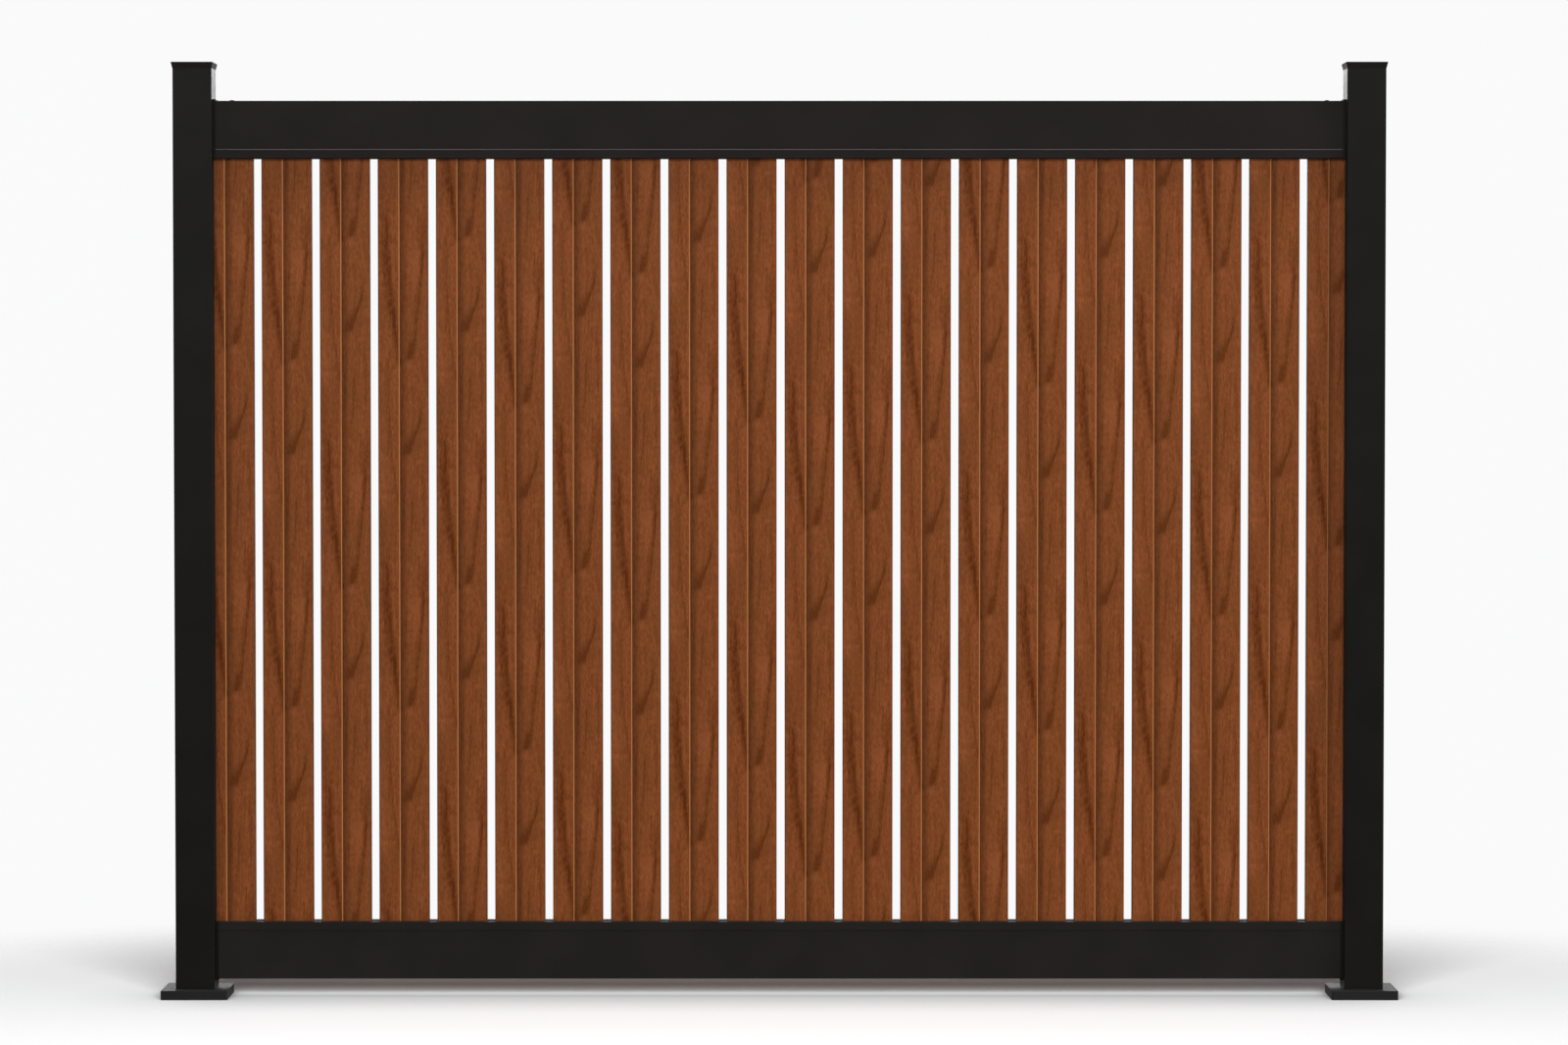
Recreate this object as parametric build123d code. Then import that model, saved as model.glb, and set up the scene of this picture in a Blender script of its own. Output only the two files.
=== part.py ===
"""Aluminium fence panel: two square posts on base plates, a top and a bottom rail hung between
them on brackets, and upright boards standing in the rails' pockets with a gap between each.

Millimetres. The origin is the centre of the left base plate's underside, +X runs along the
fence to the right post, +Z is up and the front faces -Y."""

import os

from build123d import *

# Posts, their caps and their bases
post_width = 76.2
post_wall = 2.5
post_corner_radius = 2.5
post_rise = 62.5

cap_side_height = 11.5
cap_flare = 2.8
cap_crown_height = 1.5
cap_crown_flat = 24.0
cap_rim_bevel = 0.8
cap_wall = 2.5
cap_plug_depth = 22.0
cap_plug_wall = 2.0
cap_plug_clearance = 0.3

base_plate_projection = 21.9
base_plate_thickness = 9.5
base_plate_corner_radius = 6.0
base_bolt_edge_distance = 12.0
base_bolt_hole_radius = 5.5

base_cover_wall = 2.5
base_cover_corner_radius = 4.0
base_cover_edge_radius = 1.2
base_cover_post_clearance = 0.4
base_cover_plate_clearance = 2.5
base_cover_bolt_headroom = 6.0

# Rails and the brackets at their ends
ground_clearance = 37.0
exposed_board_height = 1492.0
rail_height = 112.0
rail_wall = 2.0
rail_cheek_width = 10.0
rail_edge_radius = 1.5
rail_lip_height = 18.0
rail_lip_projection = 1.5
pocket_depth = 30.0
pocket_clearance = 0.4

bracket_flange_thickness = 6.0
bracket_flange_inset = 1.5
bracket_flange_rise = 3.0
bracket_tongue_length = 45.0
bracket_tongue_wall = 3.0
bracket_tongue_clearance = 0.25

# Boards and the spacers between them
board_width = 98.0
board_thickness = 19.0
board_wall = 1.6
board_corner_radius = 2.0
board_gap = 15.5
board_top_clearance = 4.0
board_end_clearance = 1.0
whole_board_count = 18
left_end_board_width = 77.0
right_end_board_width = 72.3

groove_offset = 42.0
groove_depth = 2.4
groove_bevel = 1.4
groove_run = 13.0

spacer_recess = 2.0
spacer_clearance = 0.25

# Sizes and places worked out from those above
base_plate_width = post_width + 2 * base_plate_projection
base_bolt_spacing = base_plate_width - 2 * base_bolt_edge_distance
base_cover_hollow = base_plate_width + 2 * base_cover_plate_clearance
base_cover_headroom = base_plate_thickness + base_cover_bolt_headroom
board_widths = [left_end_board_width, *[board_width] * whole_board_count, right_end_board_width]
opening_width = sum(board_widths) + (len(board_widths) - 1) * board_gap + 2 * board_end_clearance
post_spacing = opening_width + post_width
opening_left = post_width / 2
opening_right = opening_left + opening_width
rail_start = opening_left + bracket_flange_thickness
rail_end = opening_right - bracket_flange_thickness
bottom_rail_top = ground_clearance + rail_height
top_rail_underside = bottom_rail_top + exposed_board_height
top_rail_top = top_rail_underside + rail_height
post_top = top_rail_top + post_rise
pocket_width = board_thickness + 2 * pocket_clearance
rail_depth = pocket_width + 2 * (rail_cheek_width + 2 * rail_wall)
pocket_floor = bottom_rail_top - pocket_depth
pocket_ceiling = top_rail_underside + pocket_depth
beam_cell_width = rail_depth - 2 * rail_wall
beam_cell_height = rail_height - pocket_depth - 2 * rail_wall
board_length = pocket_ceiling - board_top_clearance - pocket_floor


def post():
    """Extruded square tube that stands on its base plate."""
    bore_width = post_width - 2 * post_wall
    section = RectangleRounded(post_width, post_width, post_corner_radius) - Rectangle(bore_width, bore_width)
    return Pos(0, 0, base_plate_thickness) * extrude(section, amount=post_top - base_plate_thickness)


def post_cap():
    """Cap that flares out from the post, with a low crown and a plug ring inside the tube."""
    rim_width = post_width + 2 * cap_flare
    plug_width = post_width - 2 * post_wall - 2 * cap_plug_clearance
    plug_bore = plug_width - 2 * cap_plug_wall
    levels = [
        (post_width, 0),
        (rim_width, cap_side_height),
        (rim_width - 2 * cap_rim_bevel, cap_side_height + cap_rim_bevel),
        (cap_crown_flat, cap_side_height + cap_rim_bevel + cap_crown_height),
    ]
    shell = loft([Pos(0, 0, level) * Rectangle(width, width) for width, level in levels], ruled=True)
    shell -= extrude(Rectangle(plug_bore, plug_bore), amount=cap_side_height - cap_wall)
    plug = extrude(Rectangle(plug_width, plug_width) - Rectangle(plug_bore, plug_bore), amount=-cap_plug_depth)
    return Pos(0, 0, post_top) * (shell + plug)


def base_plate():
    """Plate welded under the post, with a bolt hole near each corner."""
    holes = GridLocations(base_bolt_spacing, base_bolt_spacing, 2, 2) * Circle(base_bolt_hole_radius)
    section = RectangleRounded(base_plate_width, base_plate_width, base_plate_corner_radius) - holes
    return extrude(section, amount=base_plate_thickness)


def base_cover():
    """Square cover, open underneath, that slides down the post over the base plate."""
    bore_width = post_width + 2 * base_cover_post_clearance
    width = base_cover_hollow + 2 * base_cover_wall
    height = base_cover_headroom + base_cover_wall
    shell = extrude(RectangleRounded(width, width, base_cover_corner_radius), amount=height)
    shell = fillet(shell.faces().sort_by(Axis.Z)[-1].edges(), base_cover_edge_radius)
    shell -= extrude(Rectangle(base_cover_hollow, base_cover_hollow), amount=base_cover_headroom)
    return shell - extrude(Rectangle(bore_width, bore_width), amount=height)


def rail_section():
    """Section of the bottom rail, its underside on y = 0 and its pocket open at the top: a beam
    cell below, a hollow cheek each side of the pocket, and a proud lip with a sloped foot along the
    pocket's mouth."""
    lip_depth = rail_depth + 2 * rail_lip_projection
    beam = Pos(0, rail_height / 2) * Rectangle(rail_depth, rail_height)
    lip = Pos(0, rail_height - rail_lip_height / 2) * Rectangle(lip_depth, rail_lip_height)
    lip = chamfer(lip.vertices().group_by(Axis.Y)[0], rail_lip_projection)
    outline = beam + lip
    outline = fillet(outline.vertices().group_by(Axis.Y)[0], rail_edge_radius)
    outline = fillet(outline.vertices().group_by(Axis.Y)[-1], rail_edge_radius)
    pocket = Pos(0, rail_height - pocket_depth / 2) * Rectangle(pocket_width, pocket_depth)
    beam_cell = Pos(0, rail_wall + beam_cell_height / 2) * Rectangle(beam_cell_width, beam_cell_height)
    cheek_height = pocket_depth - rail_wall
    cheek_offset = (beam_cell_width - rail_cheek_width) / 2
    cheek_middle = rail_height - pocket_depth + cheek_height / 2
    cheek = Rectangle(rail_cheek_width, cheek_height)
    cheeks = [Pos(side * cheek_offset, cheek_middle) * cheek for side in (-1, 1)]
    return outline - pocket - beam_cell - cheeks


def rail():
    """Rail extrusion at the bottom rail's place."""
    section = Plane.YZ * rail_section()
    return Pos(rail_start, 0, ground_clearance) * extrude(section, amount=rail_end - rail_start)


def bracket():
    """Bracket at the bottom rail's left end: a flange against the post, slotted where the boards
    pass, and a hollow tongue that fills the rail's beam cell."""
    flange_depth = rail_depth - 2 * bracket_flange_inset
    flange_height = rail_height + bracket_flange_rise
    flange = Pos(0, rail_height - flange_height / 2) * Rectangle(flange_depth, flange_height)
    flange -= Pos(0, rail_height - pocket_depth / 2) * Rectangle(pocket_width, pocket_depth)
    tongue_width = beam_cell_width - 2 * bracket_tongue_clearance
    tongue_height = beam_cell_height - 2 * bracket_tongue_clearance
    tongue = Rectangle(tongue_width, tongue_height)
    tongue -= Rectangle(tongue_width - 2 * bracket_tongue_wall, tongue_height - 2 * bracket_tongue_wall)
    tongue = Pos(0, rail_wall + beam_cell_height / 2) * tongue
    solid = extrude(Plane.YZ * flange, amount=bracket_flange_thickness)
    solid += Pos(bracket_flange_thickness, 0, 0) * extrude(Plane.YZ * tongue, amount=bracket_tongue_length)
    return Pos(opening_left, 0, ground_clearance) * solid


def to_top(solid):
    """Turns a bottom rail piece over to its place on the top rail."""
    turned = Rot(180, 0, 0) * solid
    return Pos(0, 0, ground_clearance + top_rail_top) * turned


def to_right(solid):
    """Turns a left end piece round to its place at the right end."""
    return Pos(post_spacing, 0, 0) * Rot(0, 0, 180) * solid


def groove():
    """Groove cut from a board's front face: a bevelled left edge, then a cove that runs out to
    the right."""
    face = -board_thickness / 2
    floor = face + groove_depth
    outside = face - groove_depth
    run_out = (groove_offset + groove_run, face)
    cove_foot = (groove_offset, floor)
    cove = TangentArc(run_out, cove_foot, tangent=(-1, 0))
    edges = Polyline(
        cove_foot,
        (groove_offset, face + groove_bevel),
        (groove_offset - groove_bevel, face),
        (groove_offset - groove_bevel, outside),
        (groove_offset + groove_run, outside),
        run_out,
    )
    return make_face([cove, edges])


def board_section():
    """Hollow section of a whole board with its left edge on x = 0. Both faces have the groove, so
    a board looks the same turned back to front."""
    middle = Pos(board_width / 2, 0)
    outline = middle * RectangleRounded(board_width, board_thickness, board_corner_radius)
    back_groove = middle * Rot(0, 0, 180) * middle.inverse() * groove()
    outline = outline - groove() - back_groove
    return outline - offset(outline, amount=-board_wall, kind=Kind.INTERSECTION)


def board(start, width, ripped_left):
    """Board of the given width standing on the bottom rail's pocket floor. An end board has the
    rest of a whole board's width ripped off the side by the post."""
    skipped = ripped_left * (board_width - width)
    section = board_section()
    if width < board_width:
        section = section & Pos(skipped + width / 2, 0) * Rectangle(width, board_thickness)
    return Pos(start - skipped, 0, pocket_floor) * extrude(section, amount=board_length)


def board_spacer(gap_start):
    """Block in the bottom rail's pocket that fills the gap between two boards."""
    block = Rectangle(board_gap - 2 * spacer_clearance, board_thickness)
    return Pos(gap_start + board_gap / 2, 0, pocket_floor) * extrude(block, amount=pocket_depth - spacer_recess)


nodes = {
    "left_post": post(),
    "left_post_cap": post_cap(),
    "left_base_plate": base_plate(),
    "left_base_cover": base_cover(),
    "bottom_left_rail_bracket": bracket(),
    "bottom_rail": rail(),
}
for name in ("post", "post_cap", "base_plate", "base_cover"):
    nodes["right_" + name] = to_right(nodes["left_" + name])
nodes["bottom_right_rail_bracket"] = to_right(nodes["bottom_left_rail_bracket"])
nodes["top_left_rail_bracket"] = to_top(nodes["bottom_left_rail_bracket"])
nodes["top_right_rail_bracket"] = to_right(nodes["top_left_rail_bracket"])
nodes["top_rail"] = to_top(nodes["bottom_rail"])

spacers = []
start = opening_left + board_end_clearance
for number, width in enumerate(board_widths, start=1):
    nodes[f"board_{number:02d}"] = board(start, width, ripped_left=number == 1)
    start += width
    if number < len(board_widths):
        spacers.append(board_spacer(start))
    start += board_gap
nodes["bottom_board_spacers"] = Compound(children=spacers)
nodes["top_board_spacers"] = Compound(children=[to_top(block) for block in spacers])

os.makedirs("parts", exist_ok=True)
for name, solid in nodes.items():
    export_step(solid, f"parts/{name}.step")
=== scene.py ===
"""Looks of an aluminium fence panel: black powder-coated posts and rails, and upright boards wrapped
in a wood-grain film. Metres, +X along the fence, +Z up, and the front faces -Y."""

import math

import bmesh
import bpy
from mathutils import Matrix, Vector


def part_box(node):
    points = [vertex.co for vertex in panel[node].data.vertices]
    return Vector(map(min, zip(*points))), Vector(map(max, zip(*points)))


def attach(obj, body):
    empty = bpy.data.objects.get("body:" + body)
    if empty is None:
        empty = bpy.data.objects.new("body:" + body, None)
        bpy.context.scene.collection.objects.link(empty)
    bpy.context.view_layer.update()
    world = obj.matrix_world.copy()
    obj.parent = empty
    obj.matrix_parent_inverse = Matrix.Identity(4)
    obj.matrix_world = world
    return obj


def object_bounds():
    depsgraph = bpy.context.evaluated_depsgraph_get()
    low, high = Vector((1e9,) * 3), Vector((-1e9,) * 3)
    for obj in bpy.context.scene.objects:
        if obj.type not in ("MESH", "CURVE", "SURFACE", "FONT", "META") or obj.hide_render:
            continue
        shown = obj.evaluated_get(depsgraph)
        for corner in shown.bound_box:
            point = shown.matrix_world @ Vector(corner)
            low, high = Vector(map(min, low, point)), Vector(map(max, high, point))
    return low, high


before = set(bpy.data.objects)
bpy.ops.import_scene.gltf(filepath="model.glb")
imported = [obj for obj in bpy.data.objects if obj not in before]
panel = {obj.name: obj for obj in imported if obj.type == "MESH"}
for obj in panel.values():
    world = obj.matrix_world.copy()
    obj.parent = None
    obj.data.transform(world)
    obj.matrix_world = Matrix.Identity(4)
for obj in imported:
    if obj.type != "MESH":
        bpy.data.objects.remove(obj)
cad_low, cad_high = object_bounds()

# Base plates: aluminium plates welded under the posts, with a bolt hole near each corner. They are
# coated in one go with the posts and stay under the base covers, so the coat is plain and matt.
plate_black = (0.0090, 0.0085, 0.0085, 1)
plate_grey = (0.0150, 0.0140, 0.0140, 1)
coat_cloud_cells = (9, 9, 9)
grain_depth = 0.0002
noise_low = 0.3
noise_high = 0.7


def new_group(name, inputs, outputs):
    """Empty node group with float, vector or colour sockets, given as (name, kind) pairs."""
    group = bpy.data.node_groups.new(name, "ShaderNodeTree")
    for label, kind in inputs:
        group.interface.new_socket(label, in_out="INPUT", socket_type="NodeSocket" + kind)
    for label, kind in outputs:
        group.interface.new_socket(label, in_out="OUTPUT", socket_type="NodeSocket" + kind)
    return group, group.nodes.new("NodeGroupInput"), group.nodes.new("NodeGroupOutput")


def wire(tree, source, target):
    """Links a socket to a socket, or sets a socket to a plain value."""
    if isinstance(source, bpy.types.NodeSocket):
        tree.links.new(source, target)
    else:
        target.default_value = source


def math_node(tree, operation, *values):
    """Math node with its inputs linked or set, and its result socket."""
    node = tree.nodes.new("ShaderNodeMath")
    node.operation = operation
    for socket, value in zip(node.inputs, values):
        wire(tree, value, socket)
    return node.outputs["Value"]


def span(tree, value, low, high, to_low, to_high, smooth=True):
    """Value carried from one range to another, held at the ends."""
    node = tree.nodes.new("ShaderNodeMapRange")
    node.interpolation_type = "SMOOTHSTEP" if smooth else "LINEAR"
    for label, source in (("Value", value), ("From Min", low), ("From Max", high)):
        wire(tree, source, node.inputs[label])
    node.inputs["To Min"].default_value = to_low
    node.inputs["To Max"].default_value = to_high
    return node.outputs["Result"]


def noise(tree, place, cells, detail=2.0, roughness=0.5):
    """Noise from 0 to 1 with so many cells to a metre along each axis."""
    scaled = tree.nodes.new("ShaderNodeVectorMath")
    scaled.operation = "MULTIPLY"
    wire(tree, place, scaled.inputs[0])
    scaled.inputs[1].default_value = cells
    node = tree.nodes.new("ShaderNodeTexNoise")
    wire(tree, scaled.outputs["Vector"], node.inputs["Vector"])
    node.inputs["Scale"].default_value = 1.0
    node.inputs["Detail"].default_value = detail
    node.inputs["Roughness"].default_value = roughness
    return node.outputs["Fac"]


def blend(tree, factor, first, second):
    """Colour that goes from the first to the second with the factor."""
    node = tree.nodes.new("ShaderNodeMix")
    node.data_type = "RGBA"
    wire(tree, factor, node.inputs["Factor"])
    wire(tree, first, node.inputs["A"])
    wire(tree, second, node.inputs["B"])
    return node.outputs["Result"]


def powder_grain_group():
    """Skin of a powder coat: slow clouds where it lies thicker, and the fine grain of the powder."""
    group, given, made = new_group(
        "powder grain",
        [("Position", "Vector"), ("Grain Scale", "Float")],
        [("Cloud", "Float"), ("Grain", "Float")],
    )
    cloud = noise(group, given.outputs["Position"], coat_cloud_cells, detail=3)
    wire(group, span(group, cloud, noise_low, noise_high, 0, 1), made.inputs["Cloud"])
    fine = group.nodes.new("ShaderNodeTexNoise")
    wire(group, given.outputs["Position"], fine.inputs["Vector"])
    wire(group, given.outputs["Grain Scale"], fine.inputs["Scale"])
    fine.inputs["Detail"].default_value = 2
    wire(group, fine.outputs["Fac"], made.inputs["Grain"])
    return group


powder_grain = powder_grain_group()


def new_material(name):
    """Material with its Principled shader and the place on the object."""
    material = bpy.data.materials.new(name)
    material.use_nodes = True
    shader = material.node_tree.nodes["Principled BSDF"]
    place = material.node_tree.nodes.new("ShaderNodeTexCoord").outputs["Object"]
    return material, material.node_tree, shader, place


def press_relief(tree, shader, height, strength):
    """Fine relief of a coat or a film, from a height that changes over the surface."""
    bump = tree.nodes.new("ShaderNodeBump")
    bump.inputs["Strength"].default_value = strength
    bump.inputs["Distance"].default_value = grain_depth
    wire(tree, height, bump.inputs["Height"])
    wire(tree, bump.outputs["Normal"], shader.inputs["Normal"])


def powder_coat(name, thick, thin, smooth, rough, grain_scale=900.0, relief=0.25, gloss=0.05):
    """Black powder coat that goes from its thick to its thin colour in slow clouds, with the
    roughness of its grain between two values."""
    material, tree, shader, place = new_material(name)
    skin = tree.nodes.new("ShaderNodeGroup")
    skin.node_tree = powder_grain
    wire(tree, place, skin.inputs["Position"])
    skin.inputs["Grain Scale"].default_value = grain_scale
    grain = skin.outputs["Grain"]
    wire(tree, blend(tree, skin.outputs["Cloud"], thick, thin), shader.inputs["Base Color"])
    wire(tree, span(tree, grain, noise_low, noise_high, smooth, rough), shader.inputs["Roughness"])
    shader.inputs["Specular IOR Level"].default_value = gloss
    press_relief(tree, shader, grain, relief)
    return material


def finish_nodes(material, *names):
    """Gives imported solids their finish."""
    for name in names:
        panel[name].data.materials.clear()
        panel[name].data.materials.append(material)


plate_coat = powder_coat("base_plate_coat", plate_black, plate_grey, smooth=0.5, rough=0.65, relief=0.35)
finish_nodes(plate_coat, "left_base_plate", "right_base_plate")

# Posts: square aluminium tube, extruded and powder-coated satin black. Each stands on its base
# plate and carries the rail brackets on its inner face.
coat_black = (0.0053, 0.0050, 0.0044, 1)
coat_thin = (0.0068, 0.0064, 0.0058, 1)

post_coat = powder_coat("post_coat", coat_black, coat_thin, smooth=0.36, rough=0.48)
finish_nodes(post_coat, "left_post", "right_post")

# Base covers: thin square moulded covers, open underneath, that slide down the posts and hide the
# base plates and their bolts. Their black coat is rougher and a little paler than the posts' coat.
cover_black = (0.0108, 0.0108, 0.0106, 1)
cover_thin = (0.0126, 0.0126, 0.0124, 1)

cover_coat = powder_coat(
    "base_cover_coat", cover_black, cover_thin, smooth=0.54, rough=0.66, relief=0.12, gloss=0.055
)
finish_nodes(cover_coat, "left_base_cover", "right_base_cover")

# Post caps: cast caps with sides that flare outwards to the top and a low crown, pushed into the
# tubes on a plug ring and coated to match.
cap_black = (0.0108, 0.0100, 0.0090, 1)
cap_thin = (0.0126, 0.0117, 0.0106, 1)

cap_coat = powder_coat("post_cap_coat", cap_black, cap_thin, smooth=0.4, rough=0.52, relief=0.2, gloss=0.012)
finish_nodes(cap_coat, "left_post_cap", "right_post_cap")

# Rail brackets: black flanges against the posts with a tongue inside the rail. Only the thin edge
# of a flange shows between post and rail, and it stays in their shade.
bracket_coat = powder_coat("rail_bracket_coat", coat_black, coat_thin, smooth=0.45, rough=0.58)
for level in ("top", "bottom"):
    finish_nodes(bracket_coat, f"{level}_left_rail_bracket", f"{level}_right_rail_bracket")

# Rails: deep black extrusions with a pocket for the board ends and a proud lip along its mouth,
# slid over the brackets' tongues. The top rail's lip has a ledge that faces up, with a painted highlight on
# it.
rail_black = (0.0134, 0.0115, 0.0115, 1)
rail_thin = (0.0155, 0.0133, 0.0133, 1)
rail_lip_height = 0.018
ledge_height = 0.0015
ledge_highlight_grey = (0.042, 0.040, 0.041, 1)


def paint_ledge_highlight(material, low, high):
    """Paints a highlight over the coat between two heights."""
    tree = material.node_tree
    shader = tree.nodes["Principled BSDF"]
    coat = shader.inputs["Base Color"].links[0].from_socket
    axes = tree.nodes.new("ShaderNodeSeparateXYZ")
    wire(tree, tree.nodes.new("ShaderNodeTexCoord").outputs["Object"], axes.inputs["Vector"])
    above = math_node(tree, "GREATER_THAN", axes.outputs["Z"], low)
    below = math_node(tree, "LESS_THAN", axes.outputs["Z"], high)
    highlit = math_node(tree, "MULTIPLY", above, below)
    wire(tree, blend(tree, highlit, coat, ledge_highlight_grey), shader.inputs["Base Color"])


rail_coats = {}
for rail in ("top_rail", "bottom_rail"):
    rail_coat = powder_coat(rail + "_coat", rail_black, rail_thin, smooth=0.36, rough=0.48, gloss=0.006)
    finish_nodes(rail_coat, rail)
    rail_coats[rail] = rail_coat
# Painted highlight along the up-facing ledge at the top of the top rail's lip.
lip_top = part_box("top_rail")[0].z + rail_lip_height
paint_ledge_highlight(rail_coats["top_rail"], lip_top - ledge_height, lip_top)

# Rail screws: black pan-head screws with a hex socket, one near each rail end, driven through the
# top rail's top and the bottom rail's underside into the bracket's tongue.
screw_from_rail_end = 0.030
screw_head_radius = 0.0048
screw_head_height = 0.0026
screw_socket_radius = 0.0017
screw_socket_depth = 0.0014
screw_sides = 36
screw_turns = [2 * math.pi * i / screw_sides for i in range(screw_sides)]
# Outline of the head, as shares of its radius and of its height.
screw_head_outline = [(1.0, 0.0), (1.0, 0.35), (0.94, 0.68), (0.8, 0.9), (0.6, 1.0)]


def socket_radius(turn):
    """Distance from the axis to the wall of a hex socket, in the given direction."""
    from_corner = turn % (math.pi / 3) - math.pi / 6
    return screw_socket_radius / math.cos(from_corner)


def screw_ring(radii, height):
    """Ring of points round the screw's axis, with a radius for each direction."""
    points = []
    for radius, turn in zip(radii, screw_turns):
        points.append((radius * math.cos(turn), radius * math.sin(turn), height))
    return points


def screw_head(name, seat, up):
    """Pan head of a screw that sits on the seat and stands up or hangs down from it."""
    rings = []
    for radius_share, height_share in screw_head_outline:
        round_radii = [screw_head_radius * radius_share] * screw_sides
        rings.append(screw_ring(round_radii, screw_head_height * height_share))
    socket_radii = [socket_radius(turn) for turn in screw_turns]
    for depth in (0.0, screw_socket_depth):
        rings.append(screw_ring(socket_radii, screw_head_height - depth))

    mesh = bmesh.new()
    verts = [[mesh.verts.new((x, up * y, up * z)) for x, y, z in ring] for ring in rings]
    for lower, upper in zip(verts, verts[1:]):
        for i in range(screw_sides):
            j = (i + 1) % screw_sides
            mesh.faces.new((lower[i], lower[j], upper[j], upper[i])).smooth = True
    mesh.faces.new(verts[-1])
    mesh.faces.new(list(reversed(verts[0])))
    data = bpy.data.meshes.new(name)
    mesh.to_mesh(data)
    mesh.free()
    screw = bpy.data.objects.new(name, data)
    screw.location = seat
    bpy.context.scene.collection.objects.link(screw)
    data.materials.append(screw_coat)
    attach(screw, "root")


screw_coat = powder_coat("screw_coat", coat_black, coat_thin, smooth=0.25, rough=0.35, relief=0.1, gloss=0.5)
for level, up in (("top", 1), ("bottom", -1)):
    rail_low, rail_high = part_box(level + "_rail")
    seat_height = rail_high.z if up > 0 else rail_low.z
    screw_places = {"left": rail_low.x + screw_from_rail_end, "right": rail_high.x - screw_from_rail_end}
    for side, along in screw_places.items():
        screw_head(f"{level}_{side}_rail_screw", Vector((along, 0, seat_height)), up)

# Board spacers: black plastic blocks clipped into the rail pockets, one between each two boards,
# that keep the gaps even.
spacer_black = (0.010, 0.010, 0.0102, 1)
spacer_grey = (0.016, 0.016, 0.0165, 1)

spacer_plastic = powder_coat(
    "spacer_plastic", spacer_black, spacer_grey, smooth=0.5, rough=0.62, grain_scale=500, gloss=0.005
)
finish_nodes(spacer_plastic, "bottom_board_spacers", "top_board_spacers")

# Boards: hollow aluminium extrusions wrapped in a printed wood-grain film. The print comes off a
# roller, so it repeats at every turn of it, and each board was cut from another place of the repeat.
board_width = 0.098
film_light = (0.214, 0.0645, 0.0200, 1)
film_middle = (0.162, 0.0460, 0.0126, 1)
film_dark = (0.077, 0.0165, 0.0022, 1)
film_olive = (0.137, 0.0465, 0.0120, 1)
# Painted highlight along the groove's crest.
painted_crest_highlight = (0.350, 0.143, 0.046, 1)
# Black that the painted shade in the groove's cove and along the rounded edges is mixed towards.
painted_shade_black = (0, 0, 0, 1)
film_gloss = 0.04
film_relief = 0.3
film_smooth = 0.42
film_rough = 0.56

# The print's repeat along the board, the height of its zero, and how far below that each board's
# print starts, in millimetres.
print_repeat = 0.679
print_zero = 1.6284
print_starts = [385, 415, 175, 415, 175, 500, 145, 245, 0, 530, 60, 30, 570, 235, 460, 30, 570, 235, 460, 100]

# Growth rings of the print: how dark each is, its bend, and its sizes in millimetres on the film.
# Those with a negative darkness are the pale wood between the rings.
ring_sizes = ["Tip Across", "Tip Down", "Spread", "Reach", "Length"]
ring_sizes += ["Left Width", "Right Width", "Flare", "Stain Width"]
growth_rings = [
    (0.62, 1.3, (67.5, 644, 24, 133, 340, 5.5, 2.8, 0, 15)),
    (0.70, 1.6, (62.5, 148, 28, 58, 120, 3.8, 2.2, 0, 12)),
    (0.72, 1.3, (41.5, 655, -30, 171, 400, 6.0, 5.0, 6, 0)),
    (0.42, 1.0, (40, 245, -23, 115, 330, 2.2, 1.8, 4, 0)),
    (0.40, 1.0, (57, 344, 9, 23, 150, 1.6, 1.6, 0, 0)),
    (0.36, 1.0, (91, 296, -5, 110, 150, 3.5, 2.0, 0, 0)),
    (0.28, 1.0, (46.5, 306, 12, 170, 170, 1.8, 1.6, 0, 0)),
    (0.36, 1.0, (50, 555, 7, 130, 130, 2.2, 1.8, 0, 0)),
    (-0.18, 1.0, (72, 505, 4, 100, 110, 11, 8, 0, 0)),
    (-0.18, 1.0, (12, 255, -3, 200, 300, 8, 6, 0, 0)),
    (-0.14, 1.0, (56, 330, 1, 100, 90, 4, 4, 0, 0)),
]
ring_waver = 0.005
ring_waver_cells = (40, 14, 14)

# Layers of the fine grain: cells to a metre across and round the roller, roughness and strength.
grain_layers = {
    "broad": ((45, 7, 7), 0.5, 0.48),
    "mottle": ((130, 60, 60), 0.5, 0.54),
    "streaks": ((260, 11, 11), 0.5, 0.56),
    "fibres": ((1100, 45, 45), 0.6, 0.60),
}
bare_tone = 0.33
middle_tone = 0.36
fleck_cells = (400, 110, 110)
fleck_roughness = 0.6
fleck_strength = 0.50
pore_cells = (1700, 110, 110)
pore_start = 0.60
pore_full = 0.74
pore_strength = 0.10
pore_depth = 0.6
olive_cells = (38, 9, 9)
olive_start = 0.42
olive_full = 0.62
olive_most = 0.225

# Places across the board from its left edge: the groove's crest, where a highlight is painted, and
# the painted shade in its cove.
groove_crest = 0.0413
crest_inner = 0.0007
crest_outer = 0.0015
crest_highlight_share = 0.85
cove_start = 0.0420
cove_line = 0.0426
cove_floor = 0.0440
cove_end = 0.0620
cove_shade = 0.36
cove_line_shade = 0.22
# Distances from the board's middle between which painted shade darkens its rounded edges.
edge_start = 0.0460
edge_end = 0.0485
edge_shade = 0.3


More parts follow.
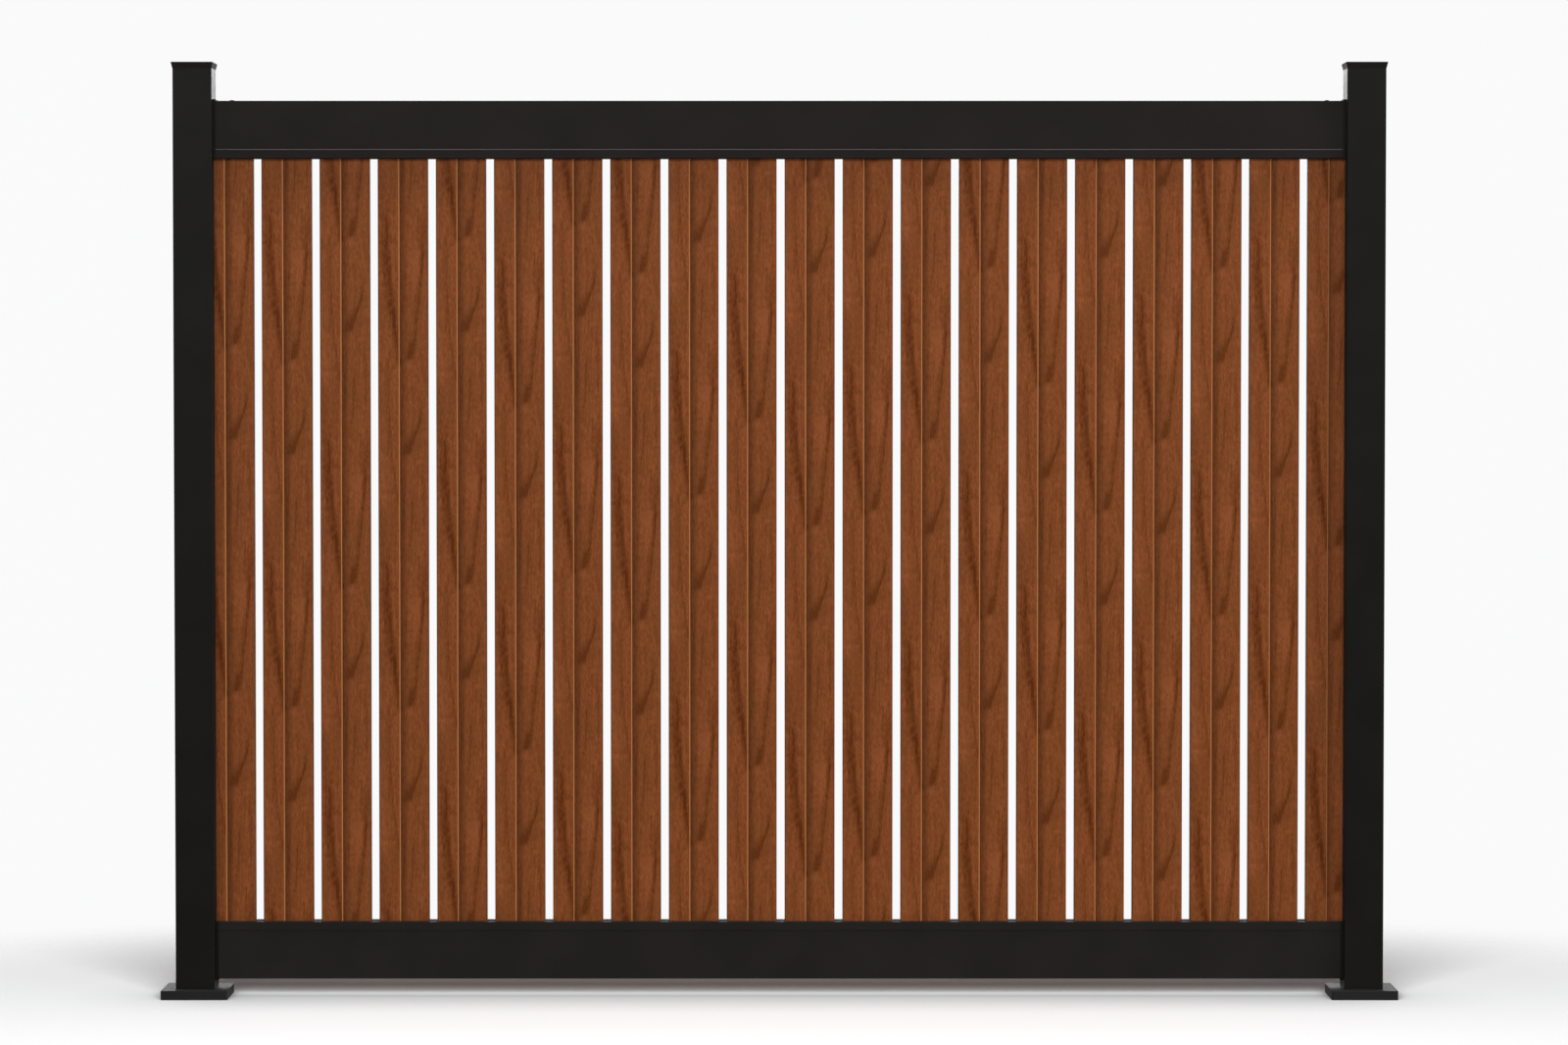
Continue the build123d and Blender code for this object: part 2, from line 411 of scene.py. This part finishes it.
def film_place_group():
    """Where a point lies on the film: across the board from the print's left edge, down the repeat,
    and round the print roller. The back has the same film turned round."""
    group, given, made = new_group(
        "place on the film",
        [("Position", "Vector"), ("Board Left", "Float"), ("Print Start", "Float")],
        [("Across", "Float"), ("Down", "Float"), ("Roller", "Vector")],
    )
    split = group.nodes.new("ShaderNodeSeparateXYZ")
    wire(group, given.outputs["Position"], split.inputs["Vector"])
    from_left = math_node(group, "SUBTRACT", split.outputs["X"], given.outputs["Board Left"])
    from_right = math_node(group, "SUBTRACT", board_width, from_left)
    behind = math_node(group, "GREATER_THAN", split.outputs["Y"], 0.0)
    kept = math_node(group, "MULTIPLY", from_left, math_node(group, "SUBTRACT", 1.0, behind))
    turned = math_node(group, "MULTIPLY", from_right, behind)
    across = math_node(group, "ADD", kept, turned)
    fallen = math_node(group, "SUBTRACT", given.outputs["Print Start"], split.outputs["Z"])
    down = math_node(group, "WRAP", fallen, print_repeat, 0.0)
    angle = math_node(group, "MULTIPLY", down, 2 * math.pi / print_repeat)
    roller_radius = print_repeat / (2 * math.pi)
    roller = group.nodes.new("ShaderNodeCombineXYZ")
    wire(group, across, roller.inputs["X"])
    for axis, operation in (("Y", "COSINE"), ("Z", "SINE")):
        swing = math_node(group, operation, angle)
        wire(group, math_node(group, "MULTIPLY", swing, roller_radius), roller.inputs[axis])
    wire(group, across, made.inputs["Across"])
    wire(group, down, made.inputs["Down"])
    wire(group, roller.outputs["Vector"], made.inputs["Roller"])
    return group


def growth_ring_group():
    """One limb of a growth ring: a soft dark line that rises from its tip and swings to one side.
    It may widen to the left on its way up, and may have a stain beside its tip."""
    names = ["Across", "Down", "Bend", "Strength"] + ring_sizes
    group, given, made = new_group("growth ring", [(name, "Float") for name in names], [("Dark", "Float")])
    get = given.outputs
    soft_tip = 0.008
    flare_start = 0.1
    flare_full = 0.4
    line_dark = 0.8
    line_fade_start = 0.5
    stain_soft = 0.007
    stain_right_start = -0.002
    stain_right_end = 0.005
    stain_fade_start = 0.012
    stain_fade_end = 0.055

    rise = math_node(group, "SUBTRACT", get["Tip Down"], get["Down"])
    rise = math_node(group, "WRAP", rise, print_repeat - 2 * soft_tip, -2 * soft_tip)
    risen = math_node(group, "MAXIMUM", rise, 0.0)
    bent = math_node(group, "POWER", math_node(group, "DIVIDE", risen, get["Reach"]), get["Bend"])
    left_over = math_node(group, "EXPONENT", math_node(group, "MULTIPLY", bent, -1.0))
    swung = math_node(group, "SUBTRACT", 1.0, left_over)
    path = math_node(group, "MULTIPLY_ADD", get["Spread"], swung, get["Tip Across"])
    offset = math_node(group, "SUBTRACT", get["Across"], path)

    share = math_node(group, "DIVIDE", risen, get["Length"])
    widened = span(group, share, flare_start, flare_full, 0, 1)
    left = math_node(group, "MULTIPLY_ADD", get["Flare"], widened, get["Left Width"])
    width = group.nodes.new("ShaderNodeMix")
    wire(group, math_node(group, "GREATER_THAN", offset, 0.0), width.inputs["Factor"])
    wire(group, left, width.inputs["A"])
    wire(group, get["Right Width"], width.inputs["B"])
    away = math_node(group, "DIVIDE", offset, width.outputs["Result"])
    away_squared = math_node(group, "MULTIPLY", away, away)
    line = math_node(group, "EXPONENT", math_node(group, "MULTIPLY", away_squared, -1.0))
    line = math_node(group, "MULTIPLY", line, span(group, share, line_fade_start, 1.0, line_dark, 0))

    inside = math_node(group, "ADD", offset, get["Stain Width"])
    stain_left = span(group, inside, -stain_soft, stain_soft, 0, 1)
    stain_right = span(group, offset, stain_right_start, stain_right_end, 1, 0)
    stain = math_node(group, "MULTIPLY", stain_left, stain_right)
    stain = math_node(group, "MULTIPLY", stain, span(group, risen, stain_fade_start, stain_fade_end, 1, 0))

    dark = math_node(group, "MAXIMUM", line, stain)
    dark = math_node(group, "MULTIPLY", dark, span(group, rise, -soft_tip, soft_tip, 0, 1))
    wire(group, math_node(group, "MULTIPLY", dark, get["Strength"]), made.inputs["Dark"])
    return group


film_place = film_place_group()
growth_ring = growth_ring_group()


def film_group():
    """The printed film: its colour, with painted shade in the groove's cove and along the edges and a
    painted highlight on the groove's crest, how rough it is, and the relief pressed into it.
    """
    group, given, made = new_group(
        "wood-grain film",
        [("Position", "Vector"), ("Board Left", "Float"), ("Print Start", "Float")],
        [("Color", "Color"), ("Roughness", "Float"), ("Relief", "Float")],
    )
    place = group.nodes.new("ShaderNodeGroup")
    place.node_tree = film_place
    for label in ("Position", "Board Left", "Print Start"):
        wire(group, given.outputs[label], place.inputs[label])
    roller = place.outputs["Roller"]
    across = place.outputs["Across"]

    waver = math_node(group, "SUBTRACT", noise(group, roller, ring_waver_cells), 0.5)
    wavered = math_node(group, "MULTIPLY_ADD", waver, ring_waver, across)
    tone = bare_tone
    for strength, bend, sizes in growth_rings:
        ring = group.nodes.new("ShaderNodeGroup")
        ring.node_tree = growth_ring
        wire(group, wavered, ring.inputs["Across"])
        wire(group, place.outputs["Down"], ring.inputs["Down"])
        for label, size in zip(ring_sizes, sizes):
            ring.inputs[label].default_value = size / 1000
        ring.inputs["Bend"].default_value = bend
        ring.inputs["Strength"].default_value = strength
        tone = math_node(group, "ADD", tone, ring.outputs["Dark"])

    layers = {}
    for name, (cells, roughness, strength) in grain_layers.items():
        layers[name] = noise(group, roller, cells, roughness=roughness)
        centred = math_node(group, "SUBTRACT", layers[name], 0.5)
        tone = math_node(group, "MULTIPLY_ADD", centred, strength, tone)
    fibres = layers["fibres"]
    flecks = noise(group, roller, fleck_cells, roughness=fleck_roughness)
    flecks = span(group, flecks, noise_low, noise_high, -0.5, 0.5, smooth=False)
    tone = math_node(group, "MULTIPLY_ADD", flecks, fleck_strength, tone)
    pores = span(group, noise(group, roller, pore_cells, detail=0), pore_start, pore_full, 0, 1)
    tone = math_node(group, "MULTIPLY_ADD", pores, pore_strength, tone)

    ramp = group.nodes.new("ShaderNodeValToRGB")
    wire(group, tone, ramp.inputs["Fac"])
    stops = ramp.color_ramp.elements
    stops[0].position = 0.0
    stops[0].color = film_light
    stops[1].position = 1.0
    stops[1].color = film_dark
    stops.new(middle_tone).color = film_middle
    olive = span(group, noise(group, roller, olive_cells), olive_start, olive_full, 0, olive_most)
    colour = blend(group, olive, ramp.outputs["Color"], film_olive)

    # Painted shade in the groove's cove and along the board's rounded edges.
    wide_shade = span(group, across, cove_floor, cove_end, cove_shade, 0)
    line_shade = span(group, across, cove_line, cove_floor, cove_line_shade, 0)
    cove = math_node(group, "ADD", wide_shade, line_shade)
    cove = math_node(group, "MULTIPLY", cove, math_node(group, "GREATER_THAN", across, cove_start))
    from_middle = math_node(group, "ABSOLUTE", math_node(group, "SUBTRACT", across, board_width / 2))
    edge = span(group, from_middle, edge_start, edge_end, 0, edge_shade)
    colour = blend(group, math_node(group, "MAXIMUM", cove, edge), colour, painted_shade_black)
    # Painted highlight along the groove's crest, mixed into the film colour.
    from_crest = math_node(group, "ABSOLUTE", math_node(group, "SUBTRACT", across, groove_crest))
    crest_highlight = span(group, from_crest, crest_inner, crest_outer, crest_highlight_share, 0)
    colour = blend(group, crest_highlight, colour, painted_crest_highlight)

    wire(group, colour, made.inputs["Color"])
    wire(group, span(group, fibres, noise_low, noise_high, film_smooth, film_rough), made.inputs["Roughness"])
    relief = math_node(group, "SUBTRACT", fibres, math_node(group, "MULTIPLY", pores, pore_depth))
    wire(group, relief, made.inputs["Relief"])
    return group


printed_film = film_group()


def film_material(name, board_left, print_start):
    """Film on one board, from the place of the repeat that the board was cut at."""
    material, tree, shader, place = new_material(name)
    film = tree.nodes.new("ShaderNodeGroup")
    film.node_tree = printed_film
    wire(tree, place, film.inputs["Position"])
    film.inputs["Board Left"].default_value = board_left
    film.inputs["Print Start"].default_value = print_start
    wire(tree, film.outputs["Color"], shader.inputs["Base Color"])
    wire(tree, film.outputs["Roughness"], shader.inputs["Roughness"])
    shader.inputs["Specular IOR Level"].default_value = film_gloss
    press_relief(tree, shader, film.outputs["Relief"], film_relief)
    return material


for number, start in enumerate(print_starts, start=1):
    name = f"board_{number:02d}"
    board_low, board_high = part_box(name)
    # The first board is ripped along its left side, so its print is set out from the right.
    board_left = board_high.x - board_width if number == 1 else board_low.x
    finish_nodes(film_material(name + "_film", board_left, print_zero - start / 1000), name)

# Floor: a plain pale studio floor in matt paint, which is stage and no part of the panel. It has a
# painted soft contact shade, glows a little with painted light where the panel shades it, and fades
# into the surroundings.
floor_radius = 3.2
floor_rings = 24
floor_sides = 96
floor_white = (0.93, 0.935, 0.94, 1)
floor_grey = (0.40, 0.40, 0.40, 1)
floor_dark = (0, 0, 0, 1)
floor_roughness = 0.85
floor_gloss = 0.1
contact_reach = 0.25
contact_share = 0.75
# The glow rises between two distances behind the panel, and ends between two beside its middle.
glow_start = 0.1
glow_full = 1.2
glow_most = 0.65
glow_side_start = 0.8
glow_side_end = 1.4
# The fade runs between two distances from the middle, which count for less along the fence.
fade_start = 0.75
fade_end = 1.55
fade_shape = (0.6, 1, 1)
panel_centre = (cad_low + cad_high) / 2


def floor_disc():
    """Round floor under the panel, as rings of faces round its middle."""
    mesh = bmesh.new()
    middle = mesh.verts.new((panel_centre.x, 0, 0))
    turns = [2 * math.pi * i / floor_sides for i in range(floor_sides)]
    rings = []
    for ring in range(1, floor_rings + 1):
        radius = floor_radius * ring / floor_rings
        points = [(panel_centre.x + radius * math.cos(turn), radius * math.sin(turn), 0) for turn in turns]
        rings.append([mesh.verts.new(point) for point in points])
    for i in range(floor_sides):
        j = (i + 1) % floor_sides
        mesh.faces.new((middle, rings[0][i], rings[0][j]))
        for inner, outer in zip(rings, rings[1:]):
            mesh.faces.new((inner[i], outer[i], outer[j], inner[j]))
    data = bpy.data.meshes.new("studio_floor")
    mesh.to_mesh(data)
    mesh.free()
    floor = bpy.data.objects.new("studio_floor", data)
    bpy.context.scene.collection.objects.link(floor)
    return floor


floor = floor_disc()
floor_paint, floor_tree, floor_shader, floor_position = new_material("floor_paint")
floor_shader.inputs["Roughness"].default_value = floor_roughness
floor_shader.inputs["Specular IOR Level"].default_value = floor_gloss
floor_seen = floor_tree.nodes.new("ShaderNodeLightPath").outputs["Is Camera Ray"]
# Painted contact shade: near the pieces, the floor's white is darkened by how much of it they hide.
floor_open = floor_tree.nodes.new("ShaderNodeAmbientOcclusion")
floor_open.inputs["Distance"].default_value = contact_reach
floor_open.inputs["Color"].default_value = floor_white
floor_contact_shaded = blend(floor_tree, contact_share, floor_white, floor_open.outputs["Color"])
wire(floor_tree, blend(floor_tree, floor_seen, floor_grey, floor_contact_shaded), floor_shader.inputs["Base Color"])

from_middle = floor_tree.nodes.new("ShaderNodeVectorMath")
from_middle.operation = "SUBTRACT"
wire(floor_tree, floor_position, from_middle.inputs[0])
from_middle.inputs[1].default_value = (panel_centre.x, 0, 0)
floor_axes = floor_tree.nodes.new("ShaderNodeSeparateXYZ")
wire(floor_tree, from_middle.outputs["Vector"], floor_axes.inputs["Vector"])
beside = math_node(floor_tree, "ABSOLUTE", floor_axes.outputs["X"])
# Painted light: the floor glows behind the panel, where the panel shades it, but not beside it.
glow_back = span(floor_tree, floor_axes.outputs["Y"], glow_start, glow_full, 0, glow_most)
glow_side = span(floor_tree, beside, glow_side_start, glow_side_end, 1, 0)
glow = math_node(floor_tree, "MULTIPLY", math_node(floor_tree, "MULTIPLY", glow_back, glow_side), floor_seen)
wire(floor_tree, blend(floor_tree, glow, floor_dark, floor_contact_shaded), floor_shader.inputs["Emission Color"])
floor_shader.inputs["Emission Strength"].default_value = 1

narrowed = floor_tree.nodes.new("ShaderNodeVectorMath")
narrowed.operation = "MULTIPLY"
wire(floor_tree, from_middle.outputs["Vector"], narrowed.inputs[0])
narrowed.inputs[1].default_value = fade_shape
floor_distance = floor_tree.nodes.new("ShaderNodeVectorMath")
floor_distance.operation = "LENGTH"
wire(floor_tree, narrowed.outputs["Vector"], floor_distance.inputs[0])
floor_fade = span(floor_tree, floor_distance.outputs["Value"], fade_start, fade_end, 1, 0)
wire(floor_tree, floor_fade, floor_shader.inputs["Alpha"])
floor.data.materials.append(floor_paint)

# Light: white surroundings, and soft lights at the right, the left, high in front, above, behind and
# at both sides, which leave the floor out. A low light in front lights the floor alone.
surround_white = (0.956, 0.956, 0.958, 1)
surround_glow = 0.12
mirrored_start = 0.0
mirrored_full = 0.2

world = bpy.data.worlds.new("studio")
bpy.context.scene.world = world
world.use_nodes = True
world_tree = world.node_tree
backdrop = world_tree.nodes["Background"]
backdrop.inputs["Color"].default_value = surround_white
ray = world_tree.nodes.new("ShaderNodeLightPath").outputs
way = world_tree.nodes.new("ShaderNodeSeparateXYZ")
wire(world_tree, world_tree.nodes.new("ShaderNodeTexCoord").outputs["Generated"], way.inputs["Vector"])
behind = span(world_tree, way.outputs["Y"], mirrored_start, mirrored_full, 0, 1)
mirrored = math_node(world_tree, "MULTIPLY", ray["Is Glossy Ray"], behind)
white = math_node(world_tree, "MAXIMUM", ray["Is Camera Ray"], mirrored)
wire(world_tree, span(world_tree, white, 0, 1, surround_glow, 1, smooth=False), backdrop.inputs["Strength"])

bpy.context.scene.view_settings.view_transform = "Standard"

floor_alone = bpy.data.collections.new("floor_alone")
floor_alone.objects.link(floor)
floor_left_out = bpy.data.collections.new("floor_left_out")
floor_left_out.objects.link(floor)
floor_left_out.collection_objects[0].light_linking.link_state = "EXCLUDE"


def soft_light(name, place, width, height, power, receivers=floor_left_out):
    """Rectangular soft light at a place, turned to the middle of the panel."""
    data = bpy.data.lights.new(name, "AREA")
    data.shape = "RECTANGLE"
    data.size = width
    data.size_y = height
    data.energy = power
    light = bpy.data.objects.new(name, data)
    light.location = place
    light.rotation_euler = (panel_centre - Vector(place)).to_track_quat("-Z", "Y").to_euler()
    light.visible_camera = False
    light.light_linking.receiver_collection = receivers
    bpy.context.scene.collection.objects.link(light)


soft_light("right_light", (4.6, -5.2, 1.7), width=2.4, height=2.6, power=58)
soft_light("left_light", (-2.3, -5.2, 1.7), width=2.4, height=2.6, power=85)
soft_light("front_light", (1.14, -9.0, 4.4), width=5.0, height=2.4, power=510)
soft_light("top_light", (1.14, -0.4, 4.6), width=5.0, height=0.8, power=200)
soft_light("back_light", (1.14, 6.5, 3.4), width=5.0, height=2.4, power=400)
soft_light("right_side_light", (6.6, -1.2, 1.6), width=2.0, height=2.5, power=190)
soft_light("left_side_light", (-4.4, 1.0, 2.2), width=2.0, height=2.5, power=200)
soft_light("floor_light", (1.14, -8.5, 2.75), width=7.0, height=2.4, power=2400, receivers=floor_alone)

# Camera: in front of the panel's middle at chest height, far back with a long lens, and tilted a
# little down, without shift.
image_width = 1600
focal_pixels = 5109
sensor_width = 36
camera_place = (1.152, -9.8, 1.245)
camera_pitch = -0.0321

camera_data = bpy.data.cameras.new("camera")
camera_data.sensor_width = sensor_width
camera_data.lens = sensor_width * focal_pixels / image_width
camera = bpy.data.objects.new("camera", camera_data)
camera.location = camera_place
camera.rotation_euler = (math.pi / 2 + camera_pitch, 0, 0)
bpy.context.scene.collection.objects.link(camera)
bpy.context.scene.camera = camera
